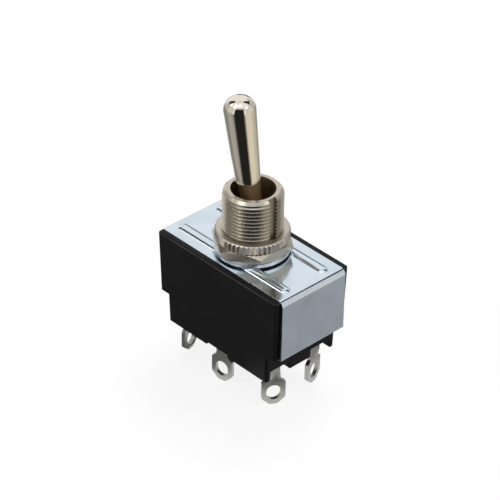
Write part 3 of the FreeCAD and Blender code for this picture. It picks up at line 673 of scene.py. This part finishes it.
world = bpy.data.worlds.new("sky")
bpy.context.scene.world = world
world.use_nodes = True
sky = Graph(world.node_tree)
glow = sky.tree.nodes["Background"]
sky.feed(glow.inputs["Color"], (*WHITE, 1))
sky.feed(glow.inputs["Strength"], SKY_LIGHT)
white_sky = sky.node("ShaderNodeBackground", {}, SHOWN_WHITE)
shown_sky = white_for_camera(Wire(sky, glow.outputs[0]), white_sky)
sky.feed(sky.tree.nodes["World Output"].inputs[0], shown_sky)

flat = bmesh.new()
bmesh.ops.create_grid(flat, x_segments=1, y_segments=1, size=PAPER_SIZE / 2)
paper = as_object("paper", flat)
sheet = Finish("white_paper", base_color=(*PAPER_SHADE, 1), roughness=0.9)
sheet.bump(sheet.noise(PAPER_GRAIN_SCALE, detail=3), 0.01 * MM)
white_sheet = sheet.node("ShaderNodeEmission", {}, SHOWN_WHITE)
shown_sheet = white_for_camera(Wire(sheet, sheet.shader.outputs[0]), white_sheet, PAPER_WHITE_SHARE)
sheet.feed(sheet.tree.nodes["Material Output"].inputs[0], shown_sheet)
paper.data.materials.append(sheet.material)
print("paper", PAPER_SIZE, "m wide, sky at", SKY_LIGHT)

# %% [markdown]
# ## Lamps
#
# Three wide lamps give the black base and the shadow their shape. They are left out of the
# gloss, because in this picture the metal shows no lamp: what it shows are the cards below.

# %% Lamps
def soft_lamp(name, turn_deg, height_deg, distance, size, power, colour=WHITE):
    """Square lamp that faces the switch from a turn and a height, and isn't seen by gloss."""
    data = bpy.data.lights.new(name, "AREA")
    data.size = size
    data.energy = power
    data.color = colour
    lamp = bpy.data.objects.new(name, data)
    lamp.visible_glossy = False
    bpy.context.scene.collection.objects.link(lamp)
    axes = facing_axes(turn_deg, height_deg, 0)
    lamp.matrix_world = placed(axes, target + axes[2] * distance)


SIDE_COLOUR = (1.0, 0.98, 0.95)
soft_lamp("key_lamp", turn_deg=120, height_deg=55, distance=0.5, size=0.3, power=1.6)
soft_lamp("side_lamp", turn_deg=40, height_deg=47, distance=0.5, size=0.2, power=0.6,
          colour=SIDE_COLOUR)
soft_lamp("fill_lamp", turn_deg=-116, height_deg=36, distance=0.6, size=0.2, power=0.8)
print("lamps:", [light.name for light in bpy.data.lights])

# %% [markdown]
# ## Cards
#
# Bright metal shows what stands round it, and in a white room it would look like nothing at all.
# So cards from black to brighter than white stand round the switch, as a photographer would set
# them, and only gloss sees them. Each is bent round the bushing between two arcs, and its turns
# are counted in degrees from the camera's side, to the right as positive. Where two cards meet,
# the metal shows a line.

# %% How a card is made
CARD_STEPS = 16
cards = []


def card(name, near, far, turns, shade, tint=WHITE):
    """Bent card that only gloss sees, between two (radius, height) arcs in mm."""
    mesh = bmesh.new()
    rows = []
    start, end = turns
    for step in range(CARD_STEPS + 1):
        turn = math.radians(CAMERA_TURN_DEG + start + (end - start) * step / CARD_STEPS)
        outward = Vector((math.cos(turn), math.sin(turn), 0))
        foot, head = (outward * radius * MM + Vector((0, 0, height * MM))
                      for radius, height in (near, far))
        rows.append((mesh.verts.new(foot), mesh.verts.new(head)))
    for before, after in zip(rows, rows[1:]):
        mesh.faces.new((before[0], before[1], after[1], after[0]))
    made = as_object(name, mesh)
    finish = Finish(name, base_color=(0, 0, 0, 1), roughness=1.0, specular_ior_level=0.0,
                    emission_color=(*tint, 1), emission_strength=shade)
    made.data.materials.append(finish.material)
    made.visible_camera = False
    made.visible_diffuse = False
    made.visible_transmission = False
    made.visible_shadow = False
    cards.append(name)


FLOOR = 0.5
LEFT_START = 10
NEAR_EDGE = 18
INNER_EDGE = 50
MIDDLE_EDGE = 66
FAR_EDGE = 400
NEAR_RING = (NEAR_EDGE, INNER_EDGE)
MIDDLE_RING = (INNER_EDGE, MIDDLE_EDGE)
FAR_RING = (MIDDLE_EDGE, FAR_EDGE)
DARK = 0.02
COOL = (0.92, 0.98, 1.0)
WARM = (1.0, 0.95, 0.82)


def floor_card(name, ring, turns, shade, tint=WHITE):
    """Card that lies just over the paper, between the two radii of a ring."""
    near, far = ring
    card(name, (near, FLOOR), (far, FLOOR), turns, shade, tint)


def upright_card(name, low, high, turns, shade, tint=WHITE):
    """Card that stands at the far edge, between two heights."""
    card(name, (FAR_EDGE, low), (FAR_EDGE, high), turns, shade, tint)


print("cards stand within", FAR_EDGE, "mm")

# %% [markdown]
# The front is dark. It draws the black stripe down the lever and keeps the base black. Over it
# stands one pale slope, which is the white patch under the lever's dome.

# %% Cards in front
SCREEN_TOP = 370
SLOPE_FOOT = (330, 490)
SLOPE_TOP = (100, 800)
FRONT = (-38, 29)
floor_card("front_near_floor", (NEAR_EDGE, MIDDLE_EDGE), turns=FRONT, shade=0.04)
floor_card("front_floor", FAR_RING, turns=FRONT, shade=DARK)
upright_card("front_screen", low=FLOOR, high=SCREEN_TOP, turns=FRONT, shade=DARK)
card("front_low_light", near=(FAR_EDGE, SCREEN_TOP), far=SLOPE_FOOT,
     turns=(-33, 33), shade=0.75, tint=COOL)
card("front_light", near=SLOPE_FOOT, far=SLOPE_TOP, turns=(-32, 32), shade=1.35, tint=COOL)
print("cards so far:", len(cards))

# %% [markdown]
# The left is grey, in steps. Its near ring shades the bushing and the nuts, its far ring and
# its screens shade the lever. The narrow bright card, with a strip of bare paper beside it,
# draws the line down the thread, and the glare is the highlight on the rim's left.

# %% Cards on the left
floor_card("left_line", MIDDLE_RING, turns=(-53, -45), shade=7.0)
floor_card("left_near_floor", (LEFT_START, INNER_EDGE), turns=(-135, -38), shade=0.19)
floor_card("left_middle_floor", MIDDLE_RING, turns=(-135, -53), shade=0.26)
floor_card("left_edge_floor", FAR_RING, turns=(-45, -38), shade=0.16)
floor_card("left_inner_floor", FAR_RING, turns=(-56, -45), shade=0.36)
floor_card("left_floor", FAR_RING, turns=(-94, -56), shade=0.46)
floor_card("left_back_floor", FAR_RING, turns=(-150, -94), shade=0.29)
upright_card("left_screen", low=FLOOR, high=560, turns=(-90, -47), shade=0.75)
upright_card("left_back_screen", low=FLOOR, high=340, turns=(-135, -90), shade=0.58)
card("left_glare", near=(380, 380), far=(250, 640), turns=(-72, -38), shade=2.6)
card("left_light", near=(380, 300), far=(370, 430), turns=(-104, -88), shade=2.5)
card("left_bar", near=(350, 230), far=(250, 500), turns=(-130, -106), shade=DARK)
print("cards so far:", len(cards))

# %% [markdown]
# The right is brighter and warm, as if a pale wall stood there. The end plate, which is a plain
# upright mirror, shows only the near ring, so that one card sets its whole tone.

# %% Cards on the right
floor_card("right_near_floor", NEAR_RING, turns=(29, 140), shade=0.39)
floor_card("right_middle_floor", MIDDLE_RING, turns=(29, 61), shade=0.20)
floor_card("right_middle_back_floor", MIDDLE_RING, turns=(61, 140), shade=0.42)
floor_card("right_edge_floor", FAR_RING, turns=(29, 38), shade=0.33)
floor_card("right_inner_floor", FAR_RING, turns=(38, 82), shade=0.82, tint=WARM)
floor_card("right_floor", FAR_RING, turns=(82, 108), shade=0.66, tint=WARM)
floor_card("right_outer_floor", FAR_RING, turns=(108, 128), shade=0.50, tint=WARM)
floor_card("right_back_floor", FAR_RING, turns=(128, 152), shade=0.33)
upright_card("right_screen", low=FLOOR, high=190, turns=(40, 98), shade=0.78)
upright_card("right_high_screen", low=190, high=390, turns=(36, 98), shade=0.74)
card("right_light", near=(380, 290), far=(370, 430), turns=(50, 72), shade=1.8)
upright_card("right_back_screen", low=FLOOR, high=400, turns=(98, 150), shade=0.60)
card("right_bar", near=(370, 310), far=(250, 780), turns=(100, 132), shade=DARK)
print("cards so far:", len(cards))

# %% [markdown]
# Behind stands little: a thin dark bar overhead gives the dome its two dark marks, and a low
# dark wall gives the beads of the top plate their lines.

# %% Cards behind
card("top_bar", near=(168, 900), far=(212, 900), turns=(104, 256), shade=DARK)
upright_card("back_wall", low=15, high=120, turns=(160, 186), shade=0.06)
floor_card("back_floor", (NEAR_EDGE, FAR_EDGE), turns=(165, 200), shade=0.40)
print("all cards:", len(cards))

# %% [markdown]
# ## Last settings
#
# Standard view keeps colours as they are written.

# %% View and the end
bpy.context.scene.view_settings.view_transform = "Standard"
